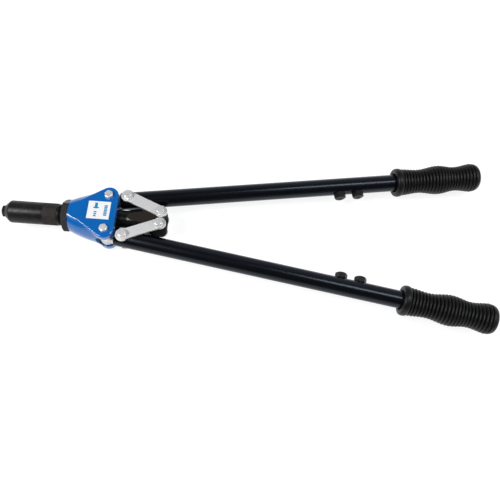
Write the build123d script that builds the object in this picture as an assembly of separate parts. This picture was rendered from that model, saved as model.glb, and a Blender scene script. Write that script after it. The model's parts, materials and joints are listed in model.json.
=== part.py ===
"""Long-arm hand riveter: two lever handles pull a crosshead, a rod and a set of jaws through a nose.

Frame: origin at the centre of the nosepiece's front face, +X rearwards along the tool's axis,
+Y towards the right-hand handle (seen by the person who holds it), +Z up. Millimetres.
"""
import os
from math import atan, cos, degrees, pi, radians, sin, sqrt, tan

from build123d import *

os.makedirs("parts", exist_ok=True)

# ---- driving dimensions: linkage ----
PIVOT_X = 113.35            # handle pivots in the head
PIVOT_Y = 19.5
REST_ANGLE = 9.08           # each handle from the tool's axis
LEVER_ARM = 19.55           # handle pivot to link bolt, along the handle
LINK_LENGTH = 39.15         # between the two bolts of a link
PULL_BOLT_Y = 7.25          # link bolts in the crosshead
RUNNING_CLEARANCE = 0.05    # radial, for pins that turn in a hole

# ---- driving dimensions: head body ----
BODY_FRONT_X = 73.2
BODY_HALF_HEIGHT = 16.75
BODY_EDGE_FILLET = 1.6
FLAT_INSET = 1.9            # the bulged sides meet the top face this far inside its edge
BOSS_RADIUS = 17.4
BULGE_MID_X = 92.0
BULGE_MID_HALF_WIDTH = 24.9
CORNER_RADIUS = 10.0        # ears round the handle pivots
SLOT_HALF_HEIGHT = 10.0
SLOT_RADIUS = 9.5           # slot wall round each handle pivot
SIDE_OPENING_AHEAD = 4.2    # the slot opens in the sides this far in front of the ears' roundings
SIDE_OPENING_ROUNDING = 8.0
SIDE_OPENING_DEPTH = 5.0    # from the handle pivots, inside the slot wall
SLOT_REACH = 5.0            # the slot's cutter stands this far out of the body
OUTLINE_SLOPE = 33.4        # straight sides of the top face, degrees from the axis
BULGE_END_PROUD = 0.3       # the sides stand this far outside the top face where they meet the ears
LABEL_SIZE = (23.3, 20.4, 0.2)
LABEL_CENTRE = (105.25, 1.15)

# ---- driving dimensions: nose ----
NOSE_HEX_AF = 11.6
NOSE_HEX_LENGTH = 6.3
NOSE_THREAD_END_X = 14.5
NOSE_TAIL_END_X = 22.5
NOSE_TAIL_RADIUS = 3.6
NOSE_TAIL_TIP_RADIUS = 3.1
NOSE_FRONT_CHAMFER = 1.2
NOSE_REAR_CHAMFER = 0.3
SLEEVE_FRONT_X = 4.2
SLEEVE_FRONT_RADIUS = 7.4
SLEEVE_RADIUS = 11.96
SLEEVE_CHAMFER_END_X = 9.4
KNURL_START_X = 44.7
KNURL_END_X = 59.7
SLEEVE_END_X = 61.9
SLEEVE_RIM_RADIUS = 11.45
SLEEVE_GROOVE_DEPTH = 0.3   # in front of the knurl
SLEEVE_GROOVE_HALF = 0.5
SLEEVE_MOUTH_RADIUS = 6.9   # clears the nosepiece's hexagon
LOCK_NUT_X = 65.8
LOCK_NUT_AF = 31.0
LOCK_NUT_CHAMFER = 1.0
LOCK_NUT_TURN = 9.0         # degrees
NOSE_BORE_RADIUS = 9.3      # room for the jaw case
ADAPTOR_FRONT_X = 44.0
ADAPTOR_END_X = 77.0
SLEEVE_THREAD_RADIUS = 10.7
COLLAR_RADIUS = 11.3
NOSEPIECE_THREAD_RADIUS = 4.9

# ---- driving dimensions: pull train ----
JAW_CASE_FRONT_X = 34.5
JAW_CASE_END_X = 62.0
JAW_CASE_RADIUS = 9.0
JAW_CASE_NOSE_RADIUS = 6.5
JAW_CASE_NOSE_LENGTH = 3.5
JAW_CONE_ANGLE = 10.0       # half angle of the jaw case's cone
JAW_CASE_MOUTH_RADIUS = 4.2
JAW_FRONT_X = 38.0
JAW_REAR_X = 49.0
JAW_REAR_RADIUS = 6.2       # turned down to clear the jaw case's thread when pushed back
JAW_GRIP_RADIUS = 1.6
JAW_TEETH = 6
JAW_TOOTH_DEPTH = 0.5
JAW_SADDLE = 0.15           # gap between the jaws and the cone
JAW_KERF = 0.5              # gap between neighbouring jaws
PUSHER_GAP = 0.1            # between the pusher and the jaws
PUSHER_RADIUS = 6.6
PUSHER_FLANGE = 2.5
PUSHER_TUBE_RADIUS = 3.0
PUSHER_TUBE_LENGTH = 14.0
PUSHER_BORE_RADIUS = 2.4
SPRING_WIRE_RADIUS = 0.55
SPRING_COIL_RADIUS = 4.3
SPRING_TURNS = 7
SPRING_GAP = 0.05           # at each end of the spring
ROD_HEAD_RADIUS = 7.0
ROD_FRONT_X = 56.0
ROD_SHOULDER_X = 70.0
ROD_RADIUS = 5.5
ROD_TAPER = 1.5
ROD_BORE_RADIUS = 3.3
ROD_SPRING_BORE_RADIUS = 5.4
ROD_END_X = 112.0
ROD_NUT_AF = 15.0
ROD_NUT_LENGTH = 6.0
CASE_NUT_AF = 15.5
CASE_NUT_LENGTH = 5.0
INNER_NUT_CHAMFER = 0.5
SPRING_SEAT_X = 68.0
NECK_FRONT_X = 98.0
NECK_END_X = 133.0
NECK_RADIUS = 9.7
CROSSHEAD_FLAT = 9.8        # half height of the milled block
CROSSHEAD_BORE_RADIUS = 3.5
CROSSHEAD_END_RADIUS = 6.6
FLARE = ((4.0, 10.4), (9.0, 11.1), (20.0, 11.7))    # behind the neck: distance, radius
FLARE_END_CHAMFER = (3.0, 2.2)
BLOCK_TAPER = ((15.0, 6.0), (29.0, 13.85))          # behind the neck: distance, half width

# ---- driving dimensions: handles ----
TUBE_RADIUS = 9.525         # 3/4 inch tube
TUBE_BORE_RADIUS = 8.0
TUBE_START = 10.3           # from the pivot, along the handle
TUBE_END = 410.0
LEVER_EYE_RADIUS = 8.5
LEVER_HALF_HEIGHT = 7.9
LEVER_END = 72.0
GRIP_START = 319.0
GRIP_RIBS_START = 327.35
GRIP_RIBS_END = 411.35
GRIP_END = 418.3
GRIP_WAVE = ((327.35, 15.1), (347.5, 13.5), (371.3, 16.5), (391.6, 13.8), (413.5, 16.4))  # distance, radius
GRIP_LIP_RADIUS = 13.8      # front face of the smooth bead
GRIP_BEAD = (323.2, 16.2)   # crest of the bead: distance, radius
GRIP_END_BEND = (416.9, 14.4)
GRIP_END_RADIUS = 12.0
GRIP_RECESS = 3.0           # round the tube, in the bead's front face
GRIP_RECESS_CLEARANCE = 1.0
RIB_COUNT = 23
RIB_DEPTH = 1.6
RIB_CREST = 0.32            # half width of a rib's crest, as a share of the pitch
SPARE_STATIONS = (253.8, 274.6)
SPOT_FACE_RADIUS = 7.0
SPOT_FACE_DEPTH = 0.7

# ---- driving dimensions: links and fasteners ----
LINK_HALF_WIDTH = 5.8
LINK_PULL_END_RADIUS = 6.6
LINK_ARM_END_RADIUS = 6.9
LINK_END_OFFSET = 0.9       # the rounded ends are centred this far beyond the bolts
LINK_BOTTOM_Z = 10.0
LINK_THICKNESS = 2.8
LINK_HOLE_CLEARANCE = 1.5   # extra radius of the hole at the handle end
LINK_BOLT_RADIUS = 2.5
LINK_BOLT_AF = 8.0
LINK_BOLT_HEAD = 3.5
LINK_NUT = 4.0
LINK_HEAD_CHAMFER = 0.6
BOLT_END = 1.0              # the bolts stand this far out of their nuts
PULL_BOLT_TURN = 20.0       # how the hexagons happen to stand, degrees
ARM_BOLT_TURN = 5.0
PIVOT_BOLT_TURN = 12.0
WASHER_RADIUS = 5.6
WASHER_THICKNESS = 1.0
WASHER_GAP = 0.1
PIVOT_BOLT_RADIUS = 2.5
PIVOT_BOLT_AF = 8.0
PIVOT_BOLT_HEAD = 3.5
PIVOT_NUT = 4.0
PIVOT_WASHER_RADIUS = 5.0
PIVOT_WASHER_THICKNESS = 1.0
PIVOT_SLEEVE_RADIUS = 4.5
THRUST_WASHER_RADIUS = 7.0
THRUST_WASHER_THICKNESS = 2.0

# nosepiece sets: rivet diameter to mandrel bore radius
MOUNTED_NOSEPIECE = ("6_4", 2.1)
SPARES_RIGHT = (("3_2", 1.05), ("4_0", 1.3))
SPARES_LEFT = (("4_8", 1.55), ("6_0", 1.85))


def save(name, *solids):
    """Write one node; a node of several solids is written as a compound."""
    flat = [s for item in solids for s in item.solids()]
    shape = flat[0] if len(flat) == 1 else Compound(children=flat)
    shape.label = name
    export_step(shape, f"parts/{name}.step")


def rod_x(radius, start, end):
    return Pos((start + end) / 2, 0, 0) * Rot(0, 90, 0) * Cylinder(radius, end - start)


def rod_z(radius, bottom, top, x=0.0, y=0.0):
    return Pos(x, y, (bottom + top) / 2) * Cylinder(radius, top - bottom)


def turned(*points):
    """Solid of revolution round the X axis from (x, radius) points."""
    outline = Polyline(*points, close=True)
    return revolve(make_face(outline), Axis.X)


def washer_z(outer, inner, bottom, top, x, y):
    return rod_z(outer, bottom, top, x, y) - rod_z(inner, bottom - 1, top + 1, x, y)


def hex_x(across_flats, start, end, front_chamfer=0.0, rear_chamfer=0.0, turn=0.0):
    """Hexagonal prism along X whose corners are turned off at 30 degrees at its ends."""
    corner = across_flats / 2 / cos(pi / 6)
    section = Rot(0, 0, turn) * RegularPolygon(across_flats / 2, 6, major_radius=False)
    prism = extrude(Plane.YZ.offset(start) * section, end - start)
    front = corner - front_chamfer / tan(pi / 6)
    rear = corner - rear_chamfer / tan(pi / 6)
    blank = turned(
        (start, 0), (start, front), (start + front_chamfer + 1e-3, corner + 1e-3),
        (end - rear_chamfer - 1e-3, corner + 1e-3), (end, rear), (end, 0),
    )
    return prism & blank


def hex_z(across_flats, bottom, top, x, y, chamfer=0.8, turn=0.0):
    """Hexagonal bolt head or nut along Z with its upper corners turned off."""
    head = hex_x(across_flats, bottom, top, rear_chamfer=chamfer, turn=turn)
    return Pos(x, y, 0) * Rot(0, -90, 0) * head


def mirror_y(shape):
    return mirror(shape, about=Plane.XZ)


def both_sides(shape):
    """The shape and its mirror image in the XZ plane."""
    return [shape, mirror_y(shape)]


def both_faces(shape):
    """The shape and its mirror image in the XY plane."""
    return [shape, mirror(shape, about=Plane.XY)]


# ---- places worked out from the driving dimensions ----
def on_handle(distance):
    """Point on the right-hand handle's axis at rest."""
    angle = radians(REST_ANGLE)
    return PIVOT_X + distance * cos(angle), PIVOT_Y + distance * sin(angle)


RIGHT_HANDLE = Pos(PIVOT_X, PIVOT_Y, 0) * Rot(0, 0, REST_ANGLE)
ARM_BOLT_X, ARM_BOLT_Y = on_handle(LEVER_ARM)
PULL_BOLT_X = ARM_BOLT_X + sqrt(LINK_LENGTH**2 - (ARM_BOLT_Y - PULL_BOLT_Y) ** 2)
LINK_TOP_Z = LINK_BOTTOM_Z + LINK_THICKNESS
LINK_HEAD_Z = LINK_TOP_Z + WASHER_GAP + WASHER_THICKNESS


# ---- head body ----
def hull_section(x, flat_half_width, bulge_half_width):
    """Cross-section with flat top and bottom and sides bulged to an arc."""
    w, b, h = flat_half_width, bulge_half_width, BODY_HALF_HEIGHT
    outline = (
        Line((-w, h), (w, h))
        + ThreePointArc((w, h), (b, 0), (w, -h))
        + Line((w, -h), (-w, -h))
        + ThreePointArc((-w, -h), (-b, 0), (-w, h))
    )
    plane = Plane(origin=(x, 0, 0), x_dir=(0, 1, 0), z_dir=(1, 0, 0))
    return plane * make_face(outline)


def flat_half_width(x):
    """Half width of the flat top face along its straight sides."""
    slope = radians(OUTLINE_SLOPE)
    tangent_x = PIVOT_X - CORNER_RADIUS * sin(slope)
    tangent_y = PIVOT_Y + CORNER_RADIUS * cos(slope)
    return tangent_y - (tangent_x - x) * tan(slope)


def ear_plates():
    """Full-height prism with the outline of the top face and rounded upper and lower edges."""
    slope = radians(OUTLINE_SLOPE)
    tangent_x = PIVOT_X - CORNER_RADIUS * sin(slope)
    front = flat_half_width(BODY_FRONT_X)
    side = flat_half_width(tangent_x)
    rear_x = PIVOT_X + CORNER_RADIUS
    arc_x = PIVOT_X + CORNER_RADIUS * sin(pi / 9)
    arc_y = PIVOT_Y + CORNER_RADIUS * cos(pi / 9)
    outline = (
        Line((BODY_FRONT_X, front), (tangent_x, side))
        + ThreePointArc((tangent_x, side), (arc_x, arc_y), (rear_x, PIVOT_Y))
        + Line((rear_x, PIVOT_Y), (rear_x, -PIVOT_Y))
        + ThreePointArc((rear_x, -PIVOT_Y), (arc_x, -arc_y), (tangent_x, -side))
        + Line((tangent_x, -side), (BODY_FRONT_X, -front))
        + Line((BODY_FRONT_X, -front), (BODY_FRONT_X, front))
    )
    prism = extrude(make_face(outline), BODY_HALF_HEIGHT, both=True)
    rims = [
        edge for edge in prism.edges()
        if abs(edge.center().Z) > BODY_HALF_HEIGHT - 0.1 and edge.center().X > BODY_FRONT_X + 0.1
    ]
    return fillet(rims, BODY_EDGE_FILLET)


def bulged_hull():
    """Round boss at the front that widens into the sides of the body."""
    boss_flat = sqrt(BOSS_RADIUS**2 - BODY_HALF_HEIGHT**2)
    end_x = PIVOT_X - CORNER_RADIUS * sin(radians(OUTLINE_SLOPE))
    end_width = flat_half_width(end_x)
    middle_flat = flat_half_width(BULGE_MID_X) - FLAT_INSET
    return loft([
        hull_section(BODY_FRONT_X, boss_flat, BOSS_RADIUS),
        hull_section(BULGE_MID_X, middle_flat, BULGE_MID_HALF_WIDTH),
        hull_section(end_x, end_width - FLAT_INSET, end_width + BULGE_END_PROUD),
    ])


def side_opening():
    """Round-ended opening of the slot in the right-hand side of the hull."""
    length = SIDE_OPENING_AHEAD + CORNER_RADIUS
    width = CORNER_RADIUS + SLOT_REACH - SIDE_OPENING_DEPTH
    block = Box(length, width, 2 * SLOT_HALF_HEIGHT)
    ends = block.edges().filter_by(Axis.Y).group_by(Axis.X)[0]
    block = fillet(ends, SIDE_OPENING_ROUNDING)
    place = Pos(PIVOT_X, PIVOT_Y) * Rot(0, 0, OUTLINE_SLOPE)
    return place * Pos(length / 2 - SIDE_OPENING_AHEAD, SIDE_OPENING_DEPTH + width / 2) * block


def slot():
    """Room for the levers and the crosshead, open at the rear and at the sides."""
    front = PIVOT_X - SLOT_RADIUS
    rear = PIVOT_X + CORNER_RADIUS + SLOT_REACH
    plan = Pos((front + rear) / 2, 0) * Rectangle(rear - front, 2 * PIVOT_Y)
    width = 2 * (PIVOT_Y + CORNER_RADIUS + SLOT_REACH)
    plan += Pos((PIVOT_X + rear) / 2, 0) * Rectangle(rear - PIVOT_X, width)
    for side in (1, -1):
        plan += Pos(PIVOT_X, side * PIVOT_Y) * Circle(SLOT_RADIUS)
    cutter = extrude(plan, SLOT_HALF_HEIGHT, both=True)
    for opening in both_sides(side_opening()):
        cutter += opening
    return cutter


def head_body():
    body = ear_plates() + bulged_hull() - slot()
    body -= rod_x(COLLAR_RADIUS, BODY_FRONT_X - 1, ADAPTOR_END_X + 0.5)
    body -= rod_x(NECK_RADIUS + RUNNING_CLEARANCE, ADAPTOR_END_X, PIVOT_X)
    for side in (1, -1):
        body -= rod_z(PIVOT_BOLT_RADIUS, -20, 20, PIVOT_X, side * PIVOT_Y)
    return body


save("head_body", head_body())

label = Pos(LABEL_CENTRE[0], LABEL_CENTRE[1], BODY_HALF_HEIGHT + LABEL_SIZE[2] / 2) * Box(*LABEL_SIZE)
save("label_plate", label)


# ---- nose ----
def nosepiece(bore_radius):
    """Hexagonal tip, thread and the tail that opens the jaws; its front face is at x = 0."""
    tip = hex_x(NOSE_HEX_AF, 0, NOSE_HEX_LENGTH, NOSE_FRONT_CHAMFER, NOSE_REAR_CHAMFER)
    shank = turned(
        (NOSE_HEX_LENGTH, 0), (NOSE_HEX_LENGTH, NOSEPIECE_THREAD_RADIUS),
        (NOSE_THREAD_END_X, NOSEPIECE_THREAD_RADIUS), (NOSE_THREAD_END_X, NOSE_TAIL_RADIUS),
        (NOSE_TAIL_END_X, NOSE_TAIL_TIP_RADIUS), (NOSE_TAIL_END_X, 0),
    )
    return tip + shank - rod_x(bore_radius, -1, NOSE_TAIL_END_X + 1)


def nose_sleeve():
    outside = turned(
        (SLEEVE_FRONT_X, 0), (SLEEVE_FRONT_X, SLEEVE_FRONT_RADIUS), (SLEEVE_CHAMFER_END_X, SLEEVE_RADIUS),
        (KNURL_START_X - SLEEVE_GROOVE_HALF, SLEEVE_RADIUS),
        (KNURL_START_X, SLEEVE_RADIUS - SLEEVE_GROOVE_DEPTH),
        (KNURL_START_X + SLEEVE_GROOVE_HALF, SLEEVE_RADIUS), (KNURL_END_X, SLEEVE_RADIUS),
        (KNURL_END_X + SLEEVE_RADIUS - SLEEVE_RIM_RADIUS, SLEEVE_RIM_RADIUS),
        (SLEEVE_END_X, SLEEVE_RIM_RADIUS), (SLEEVE_END_X, 0),
    )
    bore = rod_x(SLEEVE_MOUTH_RADIUS, 0, NOSE_HEX_LENGTH)
    bore += rod_x(NOSEPIECE_THREAD_RADIUS, 0, NOSE_THREAD_END_X + 1)
    bore += rod_x(NOSE_BORE_RADIUS, NOSE_THREAD_END_X, SLEEVE_END_X + 1)
    bore += rod_x(SLEEVE_THREAD_RADIUS, ADAPTOR_FRONT_X, SLEEVE_END_X + 1)
    return outside - bore


def nose_adaptor():
    outside = rod_x(SLEEVE_THREAD_RADIUS, ADAPTOR_FRONT_X, SLEEVE_END_X)
    outside += rod_x(COLLAR_RADIUS, SLEEVE_END_X, ADAPTOR_END_X)
    return outside - rod_x(NOSE_BORE_RADIUS, ADAPTOR_FRONT_X - 1, ADAPTOR_END_X + 1)


def ring_nut(across_flats, bore_radius, start, end, chamfer, turn=0.0):
    blank = hex_x(across_flats, start, end, front_chamfer=chamfer, rear_chamfer=chamfer, turn=turn)
    return blank - rod_x(bore_radius, start - 1, end + 1)


save(f"nosepiece_{MOUNTED_NOSEPIECE[0]}", nosepiece(MOUNTED_NOSEPIECE[1]))
save("nose_sleeve", nose_sleeve())
save("nose_adaptor", nose_adaptor())
save("adaptor_lock_nut", ring_nut(
    LOCK_NUT_AF, COLLAR_RADIUS, LOCK_NUT_X, BODY_FRONT_X, LOCK_NUT_CHAMFER, LOCK_NUT_TURN))


# ---- handle pivots in the head ----
def pivot_bolt():
    top = BODY_HALF_HEIGHT
    head = hex_z(PIVOT_BOLT_AF, top, top + PIVOT_BOLT_HEAD, PIVOT_X, PIVOT_Y, turn=PIVOT_BOLT_TURN)
    end = -top - PIVOT_WASHER_THICKNESS - PIVOT_NUT - BOLT_END
    return head + rod_z(PIVOT_BOLT_RADIUS, end, top, PIVOT_X, PIVOT_Y)


def pivot_nut():
    top = BODY_HALF_HEIGHT + PIVOT_WASHER_THICKNESS
    nut = mirror(hex_z(PIVOT_BOLT_AF, top, top + PIVOT_NUT, PIVOT_X, PIVOT_Y), about=Plane.XY)
    return nut - rod_z(PIVOT_BOLT_RADIUS, -30, 0, PIVOT_X, PIVOT_Y)


def pivot_washer():
    bottom = -BODY_HALF_HEIGHT - PIVOT_WASHER_THICKNESS
    return washer_z(PIVOT_WASHER_RADIUS, PIVOT_BOLT_RADIUS, bottom, -BODY_HALF_HEIGHT, PIVOT_X, PIVOT_Y)


def pivot_sleeve():
    height = SLOT_HALF_HEIGHT
    return washer_z(PIVOT_SLEEVE_RADIUS, PIVOT_BOLT_RADIUS, -height, height, PIVOT_X, PIVOT_Y)


def thrust_washer():
    top = SLOT_HALF_HEIGHT
    return washer_z(
        THRUST_WASHER_RADIUS, PIVOT_SLEEVE_RADIUS, top - THRUST_WASHER_THICKNESS, top, PIVOT_X, PIVOT_Y
    )


save("pivot_bolts", *both_sides(pivot_bolt()))
save("pivot_nuts", *both_sides(pivot_nut()))
save("pivot_washers", *both_sides(pivot_washer()))
save("pivot_sleeves", *both_sides(pivot_sleeve()))
save("thrust_washers", *[s for w in both_faces(thrust_washer()) for s in both_sides(w)])


# ---- pull train ----
def crosshead():
    """Guided neck that flares into a flat block for the link bolts."""
    rear_x = PULL_BOLT_X + CROSSHEAD_END_RADIUS
    flare = [(NECK_END_X + distance, radius) for distance, radius in FLARE]
    chamfer_length, chamfer_depth = FLARE_END_CHAMFER
    turned_part = turned(
        (NECK_FRONT_X, 0), (NECK_FRONT_X, NECK_RADIUS), (NECK_END_X, NECK_RADIUS),
        *flare, (rear_x - chamfer_length, flare[-1][1]), (rear_x, flare[-1][1] - chamfer_depth), (rear_x, 0),
    )
    taper = [(NECK_END_X + distance, half) for distance, half in BLOCK_TAPER]
    taper.append((PULL_BOLT_X, taper[-1][1]))
    near_side = [(x, -half) for x, half in taper]
    plan = make_face(Polyline(*taper, *reversed(near_side), close=True))
    plan += Pos(PULL_BOLT_X + CROSSHEAD_END_RADIUS / 2, 0) * Rectangle(CROSSHEAD_END_RADIUS, 2 * PULL_BOLT_Y)
    for side in (1, -1):
        plan += Pos(PULL_BOLT_X, side * PULL_BOLT_Y) * Circle(CROSSHEAD_END_RADIUS)
    block = turned_part + extrude(plan, CROSSHEAD_FLAT, both=True)
    block &= Pos(PULL_BOLT_X, 0, 0) * Box(200, 100, 2 * CROSSHEAD_FLAT)
    block -= rod_x(ROD_RADIUS, NECK_FRONT_X - 1, ROD_END_X)
    block -= rod_x(CROSSHEAD_BORE_RADIUS, ROD_END_X - 1, rear_x + 1)
    for side in (1, -1):
        block -= rod_z(LINK_BOLT_RADIUS, -20, 20, PULL_BOLT_X, side * PULL_BOLT_Y)
    return block


def pull_rod():
    outside = turned(
        (ROD_FRONT_X, 0), (ROD_FRONT_X, ROD_HEAD_RADIUS), (ROD_SHOULDER_X, ROD_HEAD_RADIUS),
        (ROD_SHOULDER_X + ROD_TAPER, ROD_RADIUS), (ROD_END_X, ROD_RADIUS), (ROD_END_X, 0),
    )
    bore = rod_x(ROD_BORE_RADIUS, ROD_FRONT_X - 1, ROD_END_X + 1)
    bore += rod_x(ROD_SPRING_BORE_RADIUS, ROD_FRONT_X - 1, SPRING_SEAT_X)
    return outside - bore


def cone_radius(x):
    """Inner radius of the jaw case's cone at x."""
    return JAW_CASE_MOUTH_RADIUS + (x - JAW_CASE_FRONT_X) * tan(radians(JAW_CONE_ANGLE))


def jaw_case():
    outside = turned(
        (JAW_CASE_FRONT_X, 0), (JAW_CASE_FRONT_X, JAW_CASE_NOSE_RADIUS),
        (JAW_CASE_FRONT_X + JAW_CASE_NOSE_LENGTH, JAW_CASE_RADIUS),
        (JAW_CASE_END_X, JAW_CASE_RADIUS), (JAW_CASE_END_X, 0),
    )
    cone_end = JAW_CASE_FRONT_X + (ROD_HEAD_RADIUS - JAW_CASE_MOUTH_RADIUS) / tan(radians(JAW_CONE_ANGLE))
    inside = turned(
        (JAW_CASE_FRONT_X - 1, 0), (JAW_CASE_FRONT_X - 1, JAW_CASE_MOUTH_RADIUS),
        (JAW_CASE_FRONT_X, JAW_CASE_MOUTH_RADIUS), (cone_end, ROD_HEAD_RADIUS),
        (JAW_CASE_END_X + 1, ROD_HEAD_RADIUS), (JAW_CASE_END_X + 1, 0),
    )
    return outside - inside


def jaw(number):
    """One of three wedge segments with a toothed grip."""
    angle = radians(JAW_CONE_ANGLE)
    inset = JAW_SADDLE / cos(angle)
    root_radius = JAW_GRIP_RADIUS + JAW_TOOTH_DEPTH
    pitch = (JAW_REAR_X - JAW_FRONT_X) / JAW_TEETH
    grip = []
    for i in range(JAW_TEETH):
        start = JAW_FRONT_X + i * pitch
        grip += [(start, root_radius), (start + pitch * 0.8, JAW_GRIP_RADIUS)]
    cone_end_x = JAW_CASE_FRONT_X + (JAW_REAR_RADIUS + inset - JAW_CASE_MOUTH_RADIUS) / tan(angle)
    cone = turned(
        *grip, (JAW_REAR_X, root_radius), (JAW_REAR_X, JAW_REAR_RADIUS),
        (cone_end_x, JAW_REAR_RADIUS), (JAW_FRONT_X, cone_radius(JAW_FRONT_X) - inset),
    )
    reach = 2 * JAW_CASE_RADIUS
    wedge = make_face(Polyline(
        (JAW_KERF, 0), (reach, (reach - JAW_KERF) * tan(pi / 3)),
        (reach, -(reach - JAW_KERF) * tan(pi / 3)), close=True,
    ))
    sector = extrude(Plane.YZ.offset(JAW_FRONT_X - 1) * wedge, JAW_REAR_X - JAW_FRONT_X + 2)
    return Rot(120 * number, 0, 0) * (cone & sector)


PUSHER_FACE_X = JAW_REAR_X + PUSHER_GAP
PUSHER_FLANGE_END_X = PUSHER_FACE_X + PUSHER_FLANGE


def jaw_pusher():
    end_x = PUSHER_FLANGE_END_X + PUSHER_TUBE_LENGTH
    return turned(
        (PUSHER_FACE_X, PUSHER_BORE_RADIUS), (PUSHER_FACE_X, PUSHER_RADIUS),
        (PUSHER_FLANGE_END_X, PUSHER_RADIUS), (PUSHER_FLANGE_END_X, PUSHER_TUBE_RADIUS),
        (end_x, PUSHER_TUBE_RADIUS), (end_x, PUSHER_BORE_RADIUS),
    )


def jaw_spring():
    start = PUSHER_FLANGE_END_X + SPRING_WIRE_RADIUS + SPRING_GAP
    length = SPRING_SEAT_X - SPRING_WIRE_RADIUS - SPRING_GAP - start
    path = Helix(pitch=length / SPRING_TURNS, height=length, radius=SPRING_COIL_RADIUS)
    section = Plane(origin=path @ 0, z_dir=path % 0) * Circle(SPRING_WIRE_RADIUS)
    coil = sweep(section, path=path, is_frenet=True)
    return Pos(start, 0, 0) * Rot(0, 90, 0) * coil


def link_bolt(x, y, turn):
    head = hex_z(LINK_BOLT_AF, LINK_HEAD_Z, LINK_HEAD_Z + LINK_BOLT_HEAD, x, y, LINK_HEAD_CHAMFER, turn)
    return head + rod_z(LINK_BOLT_RADIUS, -LINK_HEAD_Z - LINK_NUT - BOLT_END, LINK_HEAD_Z, x, y)


def link_nut(x, y):
    nut = mirror(hex_z(LINK_BOLT_AF, LINK_HEAD_Z, LINK_HEAD_Z + LINK_NUT, x, y), about=Plane.XY)
    return nut - rod_z(LINK_BOLT_RADIUS, -30, 0, x, y)


def link_washers(x, y):
    bottom = LINK_TOP_Z + WASHER_GAP
    return both_faces(washer_z(WASHER_RADIUS, LINK_BOLT_RADIUS, bottom, LINK_HEAD_Z, x, y))


save("crosshead", crosshead())
save("pull_rod", pull_rod())
save("pull_rod_lock_nut", ring_nut(
    ROD_NUT_AF, ROD_RADIUS, NECK_FRONT_X - ROD_NUT_LENGTH, NECK_FRONT_X, INNER_NUT_CHAMFER))
save("jaw_case", jaw_case())
save("jaw_case_lock_nut", ring_nut(
    CASE_NUT_AF, ROD_HEAD_RADIUS, JAW_CASE_END_X, JAW_CASE_END_X + CASE_NUT_LENGTH, INNER_NUT_CHAMFER))
for number, letter in enumerate("abc"):
    save(f"jaw_{letter}", jaw(number))
save("jaw_pusher", jaw_pusher())
save("jaw_spring", jaw_spring())
save("pull_link_bolts", *both_sides(link_bolt(PULL_BOLT_X, PULL_BOLT_Y, turn=PULL_BOLT_TURN)))
save("pull_link_nuts", *both_sides(link_nut(PULL_BOLT_X, PULL_BOLT_Y)))
save("pull_link_washers", *[s for w in link_washers(PULL_BOLT_X, PULL_BOLT_Y) for s in both_sides(w)])


# ---- links ----
def link():
    """Upper right-hand link: tight hole on the crosshead's bolt, open hole on the handle's bolt."""
    pull = Vector(PULL_BOLT_X, PULL_BOLT_Y)
    arm = Vector(ARM_BOLT_X, ARM_BOLT_Y)
    along = (arm - pull).normalized()
    angle = degrees(atan(along.Y / along.X))
    plan = Pos((pull + arm) * 0.5) * Rot(0, 0, angle) * Rectangle(LINK_LENGTH, 2 * LINK_HALF_WIDTH)
    plan += Pos(pull - along * LINK_END_OFFSET) * Circle(LINK_PULL_END_RADIUS)
    plan += Pos(arm + along * LINK_END_OFFSET) * Circle(LINK_ARM_END_RADIUS)
    plan -= Pos(pull) * Circle(LINK_BOLT_RADIUS + RUNNING_CLEARANCE)
    plan -= Pos(arm) * Circle(LINK_BOLT_RADIUS + LINK_HOLE_CLEARANCE)
    return Pos(0, 0, LINK_BOTTOM_Z) * extrude(plan, LINK_THICKNESS)


upper_link = link()
lower_link = mirror(upper_link, about=Plane.XY)
save("upper_link_right", upper_link)
save("lower_link_right", lower_link)
save("upper_link_left", mirror_y(upper_link))
save("lower_link_left", mirror_y(lower_link))


# ---- handles, in the right-hand handle's own frame: pivot at the origin, +X along the tube ----
def lever():
    eye = rod_z(LEVER_EYE_RADIUS, -LEVER_HALF_HEIGHT, LEVER_HALF_HEIGHT)
    shank = rod_x(TUBE_BORE_RADIUS, 0, LEVER_END)
    body = eye + shank
    body -= rod_z(PIVOT_SLEEVE_RADIUS + RUNNING_CLEARANCE, -20, 20)
    return body - rod_z(LINK_BOLT_RADIUS, -20, 20, LEVER_ARM)


def tube():
    pipe = rod_x(TUBE_RADIUS, TUBE_START, TUBE_END) - rod_x(TUBE_BORE_RADIUS, TUBE_START - 1, TUBE_END + 1)
    pipe -= rod_z(LINK_BOLT_RADIUS, -20, 20, LEVER_ARM)
    for station in SPARE_STATIONS:
        hole = Rot(90, 0, 0) * Cylinder(NOSEPIECE_THREAD_RADIUS, 2 * TUBE_RADIUS)
        spot_face = Rot(90, 0, 0) * Cylinder(SPOT_FACE_RADIUS, 2 * SPOT_FACE_DEPTH)
        pipe -= Pos(station, -TUBE_RADIUS, 0) * (hole + spot_face)
    return pipe


def grip_radius(s):
    """Waved outside radius of the grip at distance s from the pivot."""
    for (s0, r0), (s1, r1) in zip(GRIP_WAVE, GRIP_WAVE[1:]):
        if s <= s1:
            blend = (1 - cos(pi * max(0.0, s - s0) / (s1 - s0))) / 2
            return r0 + (r1 - r0) * blend
    return GRIP_WAVE[-1][1]


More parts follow.
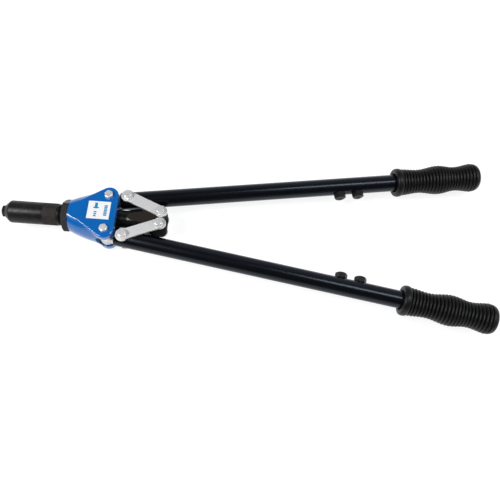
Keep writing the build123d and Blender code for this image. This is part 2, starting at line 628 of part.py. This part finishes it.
def grip():
    pitch = (GRIP_RIBS_END - GRIP_RIBS_START) / RIB_COUNT
    crest = RIB_CREST * pitch
    ribs = []
    for i in range(RIB_COUNT):
        s = GRIP_RIBS_START + (i + 0.5) * pitch
        r = grip_radius(s)
        ribs += [(s - pitch / 2, r - RIB_DEPTH), (s - crest, r), (s + crest, r)]
    bead_start = (GRIP_START, GRIP_LIP_RADIUS)
    bead_end = (GRIP_RIBS_START, ribs[0][1])
    last = (GRIP_RIBS_END, grip_radius(GRIP_RIBS_END) - RIB_DEPTH)
    recess_radius = TUBE_RADIUS + GRIP_RECESS_CLEARANCE
    recess_end = GRIP_START + GRIP_RECESS
    outline = Line((GRIP_START, recess_radius), bead_start)
    outline += ThreePointArc(bead_start, GRIP_BEAD, bead_end)
    outline += Polyline(*ribs, last)
    outline += ThreePointArc(last, GRIP_END_BEND, (GRIP_END, GRIP_END_RADIUS))
    outline += Polyline(
        (GRIP_END, GRIP_END_RADIUS), (GRIP_END, 0), (TUBE_END, 0), (TUBE_END, TUBE_RADIUS),
        (recess_end, TUBE_RADIUS), (recess_end, recess_radius), (GRIP_START, recess_radius),
    )
    return revolve(make_face(outline), Axis.X)


def spare_nosepiece(station, bore_radius):
    """Screwed into the inner side of the tube, tip outwards."""
    seat = -TUBE_RADIUS - NOSE_HEX_LENGTH + SPOT_FACE_DEPTH
    return Pos(station, seat, 0) * Rot(0, 0, 90) * nosepiece(bore_radius)


handle_link_bolt = link_bolt(LEVER_ARM, 0, turn=ARM_BOLT_TURN)
handle_link_nut = link_nut(LEVER_ARM, 0)
handle_link_washers = link_washers(LEVER_ARM, 0)
for side, place, spares in (
    ("right", lambda shape: RIGHT_HANDLE * shape, SPARES_RIGHT),
    ("left", lambda shape: mirror_y(RIGHT_HANDLE * shape), SPARES_LEFT),
):
    save(f"lever_{side}", place(lever()))
    save(f"tube_{side}", place(tube()))
    save(f"grip_{side}", place(grip()))
    save(f"link_bolt_{side}", place(handle_link_bolt))
    save(f"link_nut_{side}", place(handle_link_nut))
    save(f"link_washers_{side}", *[place(w) for w in handle_link_washers])
    for station, (rivet, bore_radius) in zip(SPARE_STATIONS, spares):
        save(f"nosepiece_{rivet}", place(spare_nosepiece(station, bore_radius)))
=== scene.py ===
"""Looks of the long-arm hand riveter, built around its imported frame. Metres, in the part's own frame."""
import json
from math import cos, floor, pi, radians, sin

import bmesh
import bpy
from mathutils import Matrix, Vector


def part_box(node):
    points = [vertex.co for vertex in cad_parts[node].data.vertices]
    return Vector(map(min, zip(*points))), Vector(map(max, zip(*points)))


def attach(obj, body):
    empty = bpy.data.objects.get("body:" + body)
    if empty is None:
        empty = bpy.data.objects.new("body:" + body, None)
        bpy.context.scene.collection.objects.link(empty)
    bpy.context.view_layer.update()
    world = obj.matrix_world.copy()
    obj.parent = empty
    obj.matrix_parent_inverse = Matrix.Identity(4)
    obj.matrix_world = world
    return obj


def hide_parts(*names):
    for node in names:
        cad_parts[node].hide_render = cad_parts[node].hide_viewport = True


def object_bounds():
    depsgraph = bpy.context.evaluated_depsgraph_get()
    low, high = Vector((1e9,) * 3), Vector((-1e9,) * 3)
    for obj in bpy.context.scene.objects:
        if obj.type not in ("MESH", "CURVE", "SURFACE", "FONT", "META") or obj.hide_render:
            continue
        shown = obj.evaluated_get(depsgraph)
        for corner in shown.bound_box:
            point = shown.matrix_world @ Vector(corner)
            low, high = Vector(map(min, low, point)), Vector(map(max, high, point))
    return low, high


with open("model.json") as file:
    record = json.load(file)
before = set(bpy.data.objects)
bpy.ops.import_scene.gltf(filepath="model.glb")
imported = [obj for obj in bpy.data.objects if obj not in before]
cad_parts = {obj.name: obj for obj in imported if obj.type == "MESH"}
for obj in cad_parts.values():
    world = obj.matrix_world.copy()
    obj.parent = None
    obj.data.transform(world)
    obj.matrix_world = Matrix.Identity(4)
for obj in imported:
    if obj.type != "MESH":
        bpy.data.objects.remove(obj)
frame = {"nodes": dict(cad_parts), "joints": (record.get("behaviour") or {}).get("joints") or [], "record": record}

cad_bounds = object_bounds()
MM = 0.001

# ---- driving dimensions, in millimetres, as in the part ----
REST_ANGLE = 9.08
SLEEVE = dict(
    front=4.2, front_radius=7.4, cone_end=9.4, radius=11.96, end=61.9, rim_radius=11.45,
    seat_radius=6.9, seat_end=6.3, mouth_radius=4.9, wall_end=15.5)
ADAPTOR = dict(front=44.0, end=77.0, bore=9.3, inner_radius=10.7, radius=11.3)
CROSSHEAD = dict(flat=9.8, block_start=150.0)
TUBE_RADIUS = 9.525
TUBE_END = 410.0
GRIP_START = 319.0
GRIP_END = 418.3
RIBS_START = 327.35
RIBS_END = 411.35
RIB_COUNT = 23
GRIP_WAVE = ((327.35, 15.1), (347.5, 13.5), (371.3, 16.5), (391.6, 13.8), (413.5, 16.4))

# ---- details that only the visual model has, in millimetres ----
KNURL = dict(start=45.0, end=59.5, inset=0.2, depth=0.35, fade=0.3, sharpness=1.4, round=44, samples=6)
KNURL_GROOVE_DEPTH = 0.3
THREAD = dict(start=61.95, end=66.8, pitch=1.2, depth=0.65, rows=44)
RIB_DEPTH = 2.2
RIB_SAMPLES = 10
RIB_ROUNDNESS = 0.8
BEAD_RADIUS = 16.2
BEAD_SHOULDER_RADIUS = 15.2
BEAD_FOOT_RADIUS = 13.2
RING_SEGMENTS = 96
ON_SURFACE = 0.01
PRINT_THICKNESS = 0.03
RIVET_SIGN = dict(x=-3.2, y=3.4, size=3.3)
SHORT_BARS = dict(x=-4.7, y=-7.6, step=2.3, width=2.7, length=1.5, count=3)
LONG_BARS = dict(x=5.4, y=-6.2, step=1.8, width=3.4, length=1.35, count=7)
CROSSHEAD_ROUNDING = 0.6
ROUNDING = {
    "head_body": 0.45, "label_plate": 0.08, "adaptor_lock_nut": 0.35, "nosepiece_6_4": 0.2,
    "nosepiece_3_2": 0.2, "nosepiece_4_0": 0.2, "nosepiece_4_8": 0.2, "nosepiece_6_0": 0.2,
    "pivot_bolts": 0.12, "pivot_washers": 0.15, "pivot_nuts": 0.15,
    "pull_link_bolts": 0.12, "pull_link_nuts": 0.15, "pull_link_washers": 0.2,
    "upper_link_right": 0.35, "lower_link_right": 0.35, "upper_link_left": 0.35, "lower_link_left": 0.35,
    "lever_right": 0.4, "lever_left": 0.4, "tube_right": 0.35, "tube_left": 0.35,
    "link_bolt_right": 0.12, "link_bolt_left": 0.12, "link_nut_right": 0.15, "link_nut_left": 0.15,
    "link_washers_right": 0.2, "link_washers_left": 0.2,
}
SHARP_ANGLE = 28
FLAT_ANGLE = 0.4
BEVEL_SEGMENTS = 3

# ---- camera, light and floor, in metres; the camera was worked out from the object's proportions ----
CAMERA_AT = (0.2494, -0.2225, 0.4992)
CAMERA_AIM = (0.2673, -0.0255, 0.0)
CAMERA_ROLL = 8.80
CAMERA_LENS = 35.97
CAMERA_SENSOR = 36.0
LIGHTS = (
    dict(name="ceiling_strip", at=(0.85, 0.0, 1.2), aim=(0.85, 0.0, 0.0), width=0.75, length=0.3, watts=6.0,
         color=(0.92, 0.96, 1.0)),
    dict(name="left_box", at=(-0.6, -0.25, 1.1), aim=(0.15, 0.0, 0.0), width=0.5, length=0.5, watts=14.0,
         color=(1, 1, 1)),
    dict(name="right_box", at=(1.55, -0.1, 0.95), aim=(0.3, 0.0, 0.0), width=0.8, length=0.8, watts=4.0,
         color=(1, 1, 1)),
)
STUDIO_DARK = (0.04, 0.04, 0.04, 1)
STUDIO_GLOW = (0.42, 0.46, 0.52, 1)
STUDIO_HORIZON = (0.88, 0.89, 0.9, 1)
GLOW_TOWARD = (0.3, 1.0, 0.0)
GLOW_RANGE = (0.35, 0.8)
HORIZON_RANGE = (0.03, 0.20)
FLOOR_HALF_SIZE = 6.0
FLOOR_GLOW = 0.86


# ---- shader building blocks ----
def new_material(name, color, roughness, metallic=0.0, **sockets):
    """Principled material; returns it with its node tree and shader."""
    made = bpy.data.materials.new(name)
    made.use_nodes = True
    tree = made.node_tree
    shader = tree.nodes["Principled BSDF"]
    shader.inputs["Base Color"].default_value = (*color, 1)
    shader.inputs["Roughness"].default_value = roughness
    shader.inputs["Metallic"].default_value = metallic
    for socket, value in sockets.items():
        shader.inputs[socket.replace("_", " ")].default_value = value
    return made, tree, shader


def noise(tree, scale, detail=3.0, stretch=(1, 1, 1)):
    """Noise in the object's own metres, drawn out by a stretch along each axis."""
    where = tree.nodes.new("ShaderNodeTexCoord")
    mapping = tree.nodes.new("ShaderNodeMapping")
    mapping.inputs["Scale"].default_value = stretch
    tree.links.new(where.outputs["Object"], mapping.inputs["Vector"])
    made = tree.nodes.new("ShaderNodeTexNoise")
    made.inputs["Scale"].default_value = scale
    made.inputs["Detail"].default_value = detail
    tree.links.new(mapping.outputs["Vector"], made.inputs["Vector"])
    return made.outputs["Fac"]


def spread(tree, value, low, high, start=0.3, end=0.7):
    """Map a value between start and end onto the range from low to high."""
    made = tree.nodes.new("ShaderNodeMapRange")
    made.inputs["From Min"].default_value = start
    made.inputs["From Max"].default_value = end
    made.inputs["To Min"].default_value = low
    made.inputs["To Max"].default_value = high
    tree.links.new(value, made.inputs["Value"])
    return made.outputs["Result"]


def vary_color(tree, shader, value, first, second):
    """Base color that goes from the first to the second as a value goes from 0 to 1."""
    mix = tree.nodes.new("ShaderNodeMix")
    mix.data_type = "RGBA"
    mix.inputs["A"].default_value = (*first, 1)
    mix.inputs["B"].default_value = (*second, 1)
    tree.links.new(value, mix.inputs["Factor"])
    tree.links.new(mix.outputs["Result"], shader.inputs["Base Color"])


def bump(tree, shader, value, height, strength=1.0):
    """Surface relief, with its height in metres."""
    made = tree.nodes.new("ShaderNodeBump")
    made.inputs["Distance"].default_value = height
    made.inputs["Strength"].default_value = strength
    tree.links.new(value, made.inputs["Height"])
    tree.links.new(made.outputs["Normal"], shader.inputs["Normal"])


# ---- materials ----
def blue_paint():
    made, tree, shader = new_material(
        "blue_paint", (0.0, 0.125, 0.45), 0.30, Specular_IOR_Level=0.25, Coat_Weight=1.0, Coat_Roughness=0.05)
    vary_color(tree, shader, spread(tree, noise(tree, 60), 0, 1), (0.0, 0.120, 0.43), (0.0, 0.130, 0.47))
    bump(tree, shader, noise(tree, 500, 2), 0.00002, 0.35)
    return made


def tube_paint():
    made, tree, shader = new_material("tube_paint", (0.003, 0.003, 0.005), 0.24, Specular_IOR_Level=0.36)
    # painted light: a bluish tint on the tube's reflections, standing in for cool light
    shader.inputs["Specular Tint"].default_value = (0.75, 0.85, 1.0, 1)
    vary_color(tree, shader, spread(tree, noise(tree, 45), 0, 1), (0.002, 0.0025, 0.004), (0.004, 0.004, 0.006))
    bump(tree, shader, noise(tree, 420, 2), 0.00001, 0.08)
    return made


def black_oxide(
        name="black_oxide", roughness=0.36, shine=0.22, dark=(0.008, 0.007, 0.008), light=(0.016, 0.014, 0.015)):
    """Blackened turned steel: faint turning marks round the tool's axis."""
    made, tree, shader = new_material(name, light, roughness, Specular_IOR_Level=shine)
    vary_color(tree, shader, spread(tree, noise(tree, 180), 0, 1), dark, light)
    marks = noise(tree, 900, 2, stretch=(4, 0.1, 0.1))
    bump(tree, shader, marks, 0.00001, 0.5)
    tree.links.new(spread(tree, noise(tree, 260), roughness - 0.06, roughness + 0.08), shader.inputs["Roughness"])
    return made


def zinc(name="zinc", metallic=0.45):
    made, tree, shader = new_material(name, (0.80, 0.79, 0.78), 0.42, metallic=metallic)
    vary_color(tree, shader, spread(tree, noise(tree, 350), 0, 1), (0.77, 0.76, 0.75), (0.83, 0.82, 0.81))
    tree.links.new(spread(tree, noise(tree, 700), 0.38, 0.46), shader.inputs["Roughness"])
    bump(tree, shader, noise(tree, 1500, 3), 0.00001, 0.3)
    return made


def turned_steel():
    made, tree, shader = new_material("turned_steel", (0.62, 0.62, 0.62), 0.32, metallic=1.0)
    vary_color(tree, shader, spread(tree, noise(tree, 300), 0, 1), (0.55, 0.55, 0.55), (0.68, 0.68, 0.68))
    tree.links.new(spread(tree, noise(tree, 900), 0.26, 0.40), shader.inputs["Roughness"])
    bump(tree, shader, noise(tree, 1200, 3), 0.00001, 0.5)
    return made


def spring_steel():
    made, tree, shader = new_material("spring_steel", (0.36, 0.36, 0.37), 0.3, metallic=1.0)
    tree.links.new(spread(tree, noise(tree, 1500), 0.24, 0.38), shader.inputs["Roughness"])
    return made


def bronze():
    made, tree, shader = new_material("bronze", (0.55, 0.34, 0.16), 0.38, metallic=1.0)
    vary_color(tree, shader, spread(tree, noise(tree, 900), 0, 1), (0.48, 0.29, 0.13), (0.62, 0.40, 0.20))
    return made


def blackened_forging(name="blackened_forging", color=(0.004, 0.004, 0.004), roughness=0.23, shine=0.3):
    made, tree, shader = new_material(name, color, roughness, Specular_IOR_Level=shine)
    bump(tree, shader, noise(tree, 700, 3), 0.00003, 0.4)
    return made


def grip_rubber():
    made, tree, shader = new_material("grip_rubber", (0.003, 0.003, 0.003), 0.42, Specular_IOR_Level=0.28)
    vary_color(tree, shader, spread(tree, noise(tree, 250), 0, 1), (0.002, 0.002, 0.002), (0.004, 0.004, 0.004))
    tree.links.new(spread(tree, noise(tree, 120), 0.37, 0.47), shader.inputs["Roughness"])
    bump(tree, shader, noise(tree, 2500, 3), 0.00003, 0.5)
    return made


def label_white():
    made, tree, shader = new_material("label", (0.9, 0.9, 0.9), 0.35)
    bump(tree, shader, noise(tree, 900, 2), 0.00001, 0.2)
    return made


def print_blue():
    made, tree, shader = new_material("print_blue", (0.0, 0.24, 0.46), 0.4)
    bump(tree, shader, noise(tree, 1800, 2), 0.00001, 0.2)
    return made


def floor_pale():
    """Pale and slightly luminous, so that the floor comes out white."""
    made, tree, shader = new_material("floor_pale", (0.26, 0.26, 0.26), 0.9, Specular_IOR_Level=0.0)
    shader.inputs["Emission Color"].default_value = (1, 1, 1, 1)
    shader.inputs["Emission Strength"].default_value = FLOOR_GLOW
    return made


FINISH = {
    "blue_paint": blue_paint(), "tube_paint": tube_paint(), "black_oxide": black_oxide(),
    "zinc": zinc(), "turned_steel": turned_steel(), "spring_steel": spring_steel(), "bronze": bronze(),
    "blackened_forging": blackened_forging(), "grip_rubber": grip_rubber(), "label": label_white(),
}
SLOT_OF = {part["node"]: part["material_slot"] for part in frame["record"]["subparts"]}
BODY_OF = {node: body for body, nodes in frame["record"]["behaviour"]["bodies"].items() for node in nodes}


# ---- mesh building blocks ----
def add_piece(name, mesh, body, slot, *nodes, place=None, finish=None, crease=35):
    """Show a mesh on a body, in place of the CAD nodes that it stands for."""
    mesh.materials.clear()
    mesh.materials.append(finish or FINISH[slot])
    mesh.shade_smooth()
    mesh.set_sharp_from_angle(angle=radians(crease))
    piece = bpy.data.objects.new(name, mesh)
    bpy.context.scene.collection.objects.link(piece)
    if place is not None:
        mesh.transform(place)
        if place.determinant() < 0:
            mesh.flip_normals()
    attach(piece, body)
    if nodes:
        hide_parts(*nodes)
    return piece


def rounded(corners, steps=4):
    """Closed outline through (x, radius, rounding) corners, each corner rounded off by a curve."""
    outline = []
    for i, (x, r, rounding) in enumerate(corners):
        here = Vector((x, r))
        before = Vector(corners[i - 1][:2]) - here
        after = Vector(corners[(i + 1) % len(corners)][:2]) - here
        if rounding == 0:
            outline.append(here)
            continue
        start = here + before.normalized() * min(rounding, before.length * 0.49)
        end = here + after.normalized() * min(rounding, after.length * 0.49)
        for k in range(steps + 1):
            t = k / steps
            outline.append(start.lerp(here, t).lerp(here.lerp(end, t), t))
    return outline


def lathe(name, outline, segments=RING_SEGMENTS, relief=None):
    """Ring-shaped mesh, round X, of a closed (x, radius) outline in millimetres.
    relief(x, radius, turn) may take a depth off the surface at a turn of 0 to 1."""
    vertices = []
    for x, r in outline:
        for k in range(segments):
            depth = relief(x, r, k / segments) if relief else 0.0
            angle = 2 * pi * k / segments
            vertices.append((x * MM, (r - depth) * cos(angle) * MM, (r - depth) * sin(angle) * MM))
    rings = len(outline)
    faces = []
    for i in range(rings):
        j = (i + 1) % rings
        for k in range(segments):
            m = (k + 1) % segments
            faces.append((i * segments + k, i * segments + m, j * segments + m, j * segments + k))
    mesh = bpy.data.meshes.new(name)
    mesh.from_pydata(vertices, [], faces)
    tidy_normals(mesh)
    return mesh


def tidy_normals(mesh):
    """Merge double points and turn all the faces outwards."""
    work = bmesh.new()
    work.from_mesh(mesh)
    bmesh.ops.remove_doubles(work, verts=work.verts, dist=1e-7)
    bmesh.ops.recalc_face_normals(work, faces=work.faces)
    work.to_mesh(mesh)
    work.free()


def softened(node, width, finish=None):
    """The CAD node's shape with its sharp edges rounded by a width in millimetres."""
    work = bmesh.new()
    work.from_mesh(frame["nodes"][node].data)
    bmesh.ops.remove_doubles(work, verts=work.verts, dist=1e-6)
    bmesh.ops.dissolve_limit(
        work, angle_limit=radians(FLAT_ANGLE), use_dissolve_boundaries=False, verts=work.verts, edges=work.edges)
    edges = [e for e in work.edges if e.is_manifold and e.calc_face_angle() > radians(SHARP_ANGLE)]
    bmesh.ops.bevel(
        work, geom=edges, offset=width * MM, offset_type="OFFSET", segments=BEVEL_SEGMENTS, profile=0.5,
        affect="EDGES", clamp_overlap=True, miter_outer="SHARP", miter_inner="SHARP")
    bmesh.ops.remove_doubles(work, verts=work.verts, dist=1e-6)
    mesh = bpy.data.meshes.new(node + "_finished")
    work.to_mesh(mesh)
    work.free()
    piece = add_piece(mesh.name, mesh, BODY_OF[node], SLOT_OF[node], node, finish=finish)
    weigh = piece.modifiers.new("weighted_normals", "WEIGHTED_NORMAL")
    weigh.keep_sharp = True
    return piece


# ---- nose and crosshead ----
def triangle_wave(value):
    """0 at whole numbers, 1 half way between them."""
    return 1 - abs(2 * (value - floor(value)) - 1)


def nose_sleeve():
    """The sleeve with a diamond knurl between two shallow grooves."""
    s, k, a = SLEEVE, KNURL, ADAPTOR
    pitch = 2 * pi * s["radius"] / k["round"]
    rows = int((k["end"] - k["start"]) / (pitch / k["samples"]))
    first = k["start"] + k["inset"]
    step = (k["end"] - k["start"] - 2 * k["inset"]) / rows
    groove = s["radius"] - KNURL_GROOVE_DEPTH
    corners = [
        (s["front"], s["seat_radius"], 0.15), (s["front"], s["front_radius"], 0.4), (s["cone_end"], s["radius"], 0.9),
        (k["start"] - 0.8, s["radius"], 0.2), (k["start"] - 0.5, groove, 0.1), (k["start"] - 0.1, groove, 0.1),
        (k["start"], s["radius"] - 0.15, 0),
        *[(first + i * step, s["radius"], 0) for i in range(rows + 1)],
        (k["end"] + 0.1, s["radius"] - 0.2, 0.1), (k["end"] + 0.5, s["rim_radius"], 0.1),
        (s["end"], s["rim_radius"], 0.4), (s["end"], a["inner_radius"], 0.1), (a["front"], a["inner_radius"], 0),
        (a["front"], a["bore"], 0), (s["wall_end"], a["bore"], 0), (s["wall_end"], s["mouth_radius"], 0),
        (s["seat_end"], s["mouth_radius"], 0), (s["seat_end"], s["seat_radius"], 0),
    ]

    def knurl(x, r, turn):
        inside = min(x - k["start"], k["end"] - x)
        if inside <= 0 or r < s["radius"] - ON_SURFACE:
            return 0.0
        along = x / pitch
        crest = min(triangle_wave(turn * k["round"] + along), triangle_wave(turn * k["round"] - along))
        return k["depth"] * (1 - min(1.0, k["sharpness"] * crest)) * min(1.0, inside / k["fade"])

    mesh = lathe("nose_sleeve_knurled", rounded(corners), k["round"] * k["samples"], knurl)
    add_piece("nose_sleeve_knurled", mesh, "head", "black_oxide", "nose_sleeve", crease=50)
    mesh.materials.append(black_oxide("black_oxide_knurl", 0.6, 0.2, (0.020, 0.016, 0.016), (0.034, 0.028, 0.028)))
    for face in mesh.polygons:
        if k["start"] < face.center.x / MM < k["end"] and face.center.yz.length / MM > s["rim_radius"]:
            face.material_index = 1


def nose_adaptor():
    """The adaptor with its thread cut where it shows, between the sleeve and the lock nut."""
    a, t = ADAPTOR, THREAD
    step = (t["end"] - t["start"]) / t["rows"]
    corners = [
        (a["front"], a["bore"], 0), (a["front"], a["inner_radius"], 0.3), (SLEEVE["end"], a["inner_radius"], 0),
        *[(t["start"] + i * step, a["radius"], 0) for i in range(t["rows"] + 1)],
        (a["end"], a["radius"], 0.3), (a["end"], a["bore"], 0),
    ]

    def cut(x, r, turn):
        if not SLEEVE["end"] < x < t["end"] or r < a["radius"] - ON_SURFACE:
            return 0.0
        return t["depth"] * (1 - triangle_wave(x / t["pitch"] + turn))

    mesh = lathe("nose_adaptor_threaded", rounded(corners), relief=cut)
    add_piece("nose_adaptor_threaded", mesh, "head", "black_oxide", "nose_adaptor")


def finish_crosshead():
    """Matt brownish milled flats above and below, and painted shade on the block's sides behind the neck: a darker
    copy of the forging with almost no shine, so the sides stay dark as if the floor they face were in shadow.
    """
    mesh = softened("crosshead", CROSSHEAD_ROUNDING).data
    mesh.materials.append(blackened_forging("forging_milled", (0.015, 0.011, 0.009), 0.6, 0.2))
    # painted shade: the block's sides behind the neck get a darker, nearly shineless copy of the forging
    mesh.materials.append(blackened_forging("forging_sides_painted_shade", (0.003, 0.003, 0.003), 0.6, 0.02))
    for face in mesh.polygons:
        if abs(face.normal.z) > 0.99 and abs(face.center.z) / MM > CROSSHEAD["flat"] - 0.05:
            face.material_index = 1
        elif abs(face.normal.z) < 0.35 and face.center.x / MM > CROSSHEAD["block_start"]:
            face.material_index = 2


# ---- grips ----
def grip_radius(s):
    """Radius of the wavy grip over the ribs' crests, at a distance from the handle's pivot."""
    for (s0, r0), (s1, r1) in zip(GRIP_WAVE, GRIP_WAVE[1:]):
        if s <= s1:
            blend = (1 - cos(pi * max(0.0, s - s0) / (s1 - s0))) / 2
            return r0 + (r1 - r0) * blend
    return GRIP_WAVE[-1][1]


def grip_outline():
    """Outline of half a grip: mouth round the tube, bead, ribs and closed end."""
    mouth = [
        (GRIP_START + 3.2, TUBE_RADIUS + 0.02, 0), (GRIP_START + 2.6, TUBE_RADIUS + 0.9, 0.3),
        (GRIP_START + 0.3, TUBE_RADIUS + 1.2, 0.4), (GRIP_START, TUBE_RADIUS + 2.2, 0.6),
    ]
    bead = [
        (GRIP_START, BEAD_FOOT_RADIUS, 0), (GRIP_START + 0.5, BEAD_SHOULDER_RADIUS, 1.3),
        (GRIP_START + 2.8, BEAD_RADIUS, 1.8), (GRIP_START + 6.0, BEAD_RADIUS, 1.8),
        (RIBS_START - 0.4, BEAD_SHOULDER_RADIUS, 0.9), (RIBS_START, BEAD_FOOT_RADIUS, 0),
    ]
    outline = rounded(mouth) + rounded(bead, 6)[1:]
    pitch = (RIBS_END - RIBS_START) / RIB_COUNT
    for i in range(RIB_COUNT):
        for k in range(1, RIB_SAMPLES + 1):
            u = k / RIB_SAMPLES
            s = RIBS_START + (i + u) * pitch
            height = max(0.0, sin(pi * u)) ** RIB_ROUNDNESS
            outline.append(Vector((s, grip_radius(s) - RIB_DEPTH * (1 - height))))
    last = outline[-1]
    end = [
        (last.x, last.y, 0), (RIBS_END + 0.8, 15.95, 0.7), (RIBS_END + 4.1, 15.35, 2.2), (GRIP_END - 0.2, 13.6, 1.6),
        (GRIP_END, 10.5, 1.0), (GRIP_END, 5.2, 0.3), (GRIP_END - 0.8, 4.4, 0.3), (GRIP_END - 0.8, 0.02, 0),
        (TUBE_END, 0.02, 0), (TUBE_END, TUBE_RADIUS, 0),
    ]
    return outline + rounded(end)[1:]


def handle_place(side):
    """Where a handle's own frame, with its pivot at the origin and X along the tube, stands at rest."""
    joint = next(j for j in frame["joints"] if j["name"] == f"handle_{side}_swing")
    sign = 1 if side == "right" else -1
    turn = Matrix.Rotation(sign * radians(REST_ANGLE), 4, "Z")
    mirror = Matrix.Diagonal((1, sign, 1, 1))
    return Matrix.Translation(joint["pos_m"]) @ turn @ mirror


def grip(side):
    mesh = lathe(f"grip_{side}_ribbed", grip_outline())
    add_piece(f"grip_{side}_ribbed", mesh, f"handle_{side}", "grip_rubber", f"grip_{side}",
              place=handle_place(side), crease=75)


# ---- label print: a plain rivet sign and bars ----
def rivet_sign(x, y, size):
    """Side view of a rivet, head towards -Y."""
    dome = [(x + size * cos(pi * (1 + k / 12)), y + 0.55 * size * sin(pi * (1 + k / 12))) for k in range(13)]
    half, length = 0.45 * size, 1.5 * size
    return dome + [(x + half, y), (x + half, y + length), (x - half, y + length), (x - half, y)]


def bars(x, y, step, width, length, count):
    """Row of bars along Y."""
    starts = [y + step * i for i in range(count)]
    return [[(x, s), (x + width, s), (x + width, s + length), (x, s + length)] for s in starts]


def label_print():
    low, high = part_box("label_plate")
    cx, cy = (low.x + high.x) / 2 / MM, (low.y + high.y) / 2 / MM
    outlines = [rivet_sign(cx + RIVET_SIGN["x"], cy + RIVET_SIGN["y"], RIVET_SIGN["size"])]
    for row in (SHORT_BARS, LONG_BARS):
        outlines += bars(**{**row, "x": cx + row["x"], "y": cy + row["y"]})
    work = bmesh.new()
    for points in outlines:
        face = work.faces.new([work.verts.new((x * MM, y * MM, high.z)) for x, y in points])
        raised = bmesh.ops.extrude_face_region(work, geom=[face])
        top = [v for v in raised["geom"] if isinstance(v, bmesh.types.BMVert)]
        bmesh.ops.translate(work, verts=top, vec=(0, 0, PRINT_THICKNESS * MM))
    bmesh.ops.recalc_face_normals(work, faces=work.faces)
    mesh = bpy.data.meshes.new("label_print")
    work.to_mesh(mesh)
    work.free()
    add_piece("label_print", mesh, "head", "label", finish=print_blue())


nose_sleeve()
nose_adaptor()
for side in ("right", "left"):
    grip(side)
finish_crosshead()
label_print()

zinc_bolts = zinc("zinc_bolts", 0.65)
for node, width in ROUNDING.items():
    is_bolt = SLOT_OF[node] == "zinc" and ("bolt" in node or "nut" in node)
    softened(node, width, zinc_bolts if is_bolt else None)

for node, piece in frame["nodes"].items():
    if not piece.hide_render:
        for material_slot in piece.material_slots:
            material_slot.material = FINISH[SLOT_OF[node]]


# ---- floor, light and camera ----
def make_floor():
    size = FLOOR_HALF_SIZE
    z = cad_bounds[0].z
    mesh = bpy.data.meshes.new("floor")
    mesh.from_pydata([(-size, -size, z), (size, -size, z), (size, size, z), (-size, size, z)], [], [(0, 1, 2, 3)])
    mesh.materials.append(floor_pale())
    piece = bpy.data.objects.new("floor", mesh)
    bpy.context.scene.collection.objects.link(piece)


def make_world():
    """Dark studio with a faint glow on the far side of the tool and a pale horizon."""
    world = bpy.data.worlds.new("studio")
    bpy.context.scene.world = world
    world.use_nodes = True
    tree = world.node_tree
    background = tree.nodes["Background"]
    where = tree.nodes.new("ShaderNodeTexCoord")
    toward = tree.nodes.new("ShaderNodeVectorMath")
    toward.operation = "DOT_PRODUCT"
    toward.inputs[1].default_value = GLOW_TOWARD
    tree.links.new(where.outputs["Generated"], toward.inputs[0])
    glow = tree.nodes.new("ShaderNodeValToRGB")
    for element, position, color in zip(glow.color_ramp.elements, GLOW_RANGE, (STUDIO_DARK, STUDIO_GLOW)):
        element.position = position
        element.color = color
    tree.links.new(toward.outputs["Value"], glow.inputs["Fac"])
    split = tree.nodes.new("ShaderNodeSeparateXYZ")
    tree.links.new(where.outputs["Generated"], split.inputs["Vector"])
    horizon = tree.nodes.new("ShaderNodeMix")
    horizon.data_type = "RGBA"
    horizon.inputs["B"].default_value = STUDIO_HORIZON
    tree.links.new(spread(tree, split.outputs["Z"], 1, 0, *HORIZON_RANGE), horizon.inputs["Factor"])
    tree.links.new(glow.outputs["Color"], horizon.inputs["A"])
    tree.links.new(horizon.outputs["Result"], background.inputs["Color"])


def soft_light(name, at, aim, width, length, watts, color):
    data = bpy.data.lights.new(name, "AREA")
    data.shape = "RECTANGLE"
    data.size = width
    data.size_y = length
    data.energy = watts
    data.color = color
    lamp = bpy.data.objects.new(name, data)
    lamp.location = at
    lamp.rotation_euler = (Vector(aim) - Vector(at)).to_track_quat("-Z", "Y").to_euler()
    bpy.context.scene.collection.objects.link(lamp)


def make_camera():
    data = bpy.data.cameras.new("camera")
    data.lens = CAMERA_LENS
    data.sensor_width = CAMERA_SENSOR
    camera = bpy.data.objects.new("camera", data)
    bpy.context.scene.collection.objects.link(camera)
    aim = (Vector(CAMERA_AIM) - Vector(CAMERA_AT)).to_track_quat("-Z", "Y").to_matrix().to_4x4()
    camera.matrix_world = Matrix.Translation(CAMERA_AT) @ aim @ Matrix.Rotation(radians(CAMERA_ROLL), 4, "Z")
    bpy.context.scene.camera = camera


make_floor()
make_world()
for light in LIGHTS:
    soft_light(**light)
make_camera()
bpy.context.scene.view_settings.view_transform = "Standard"
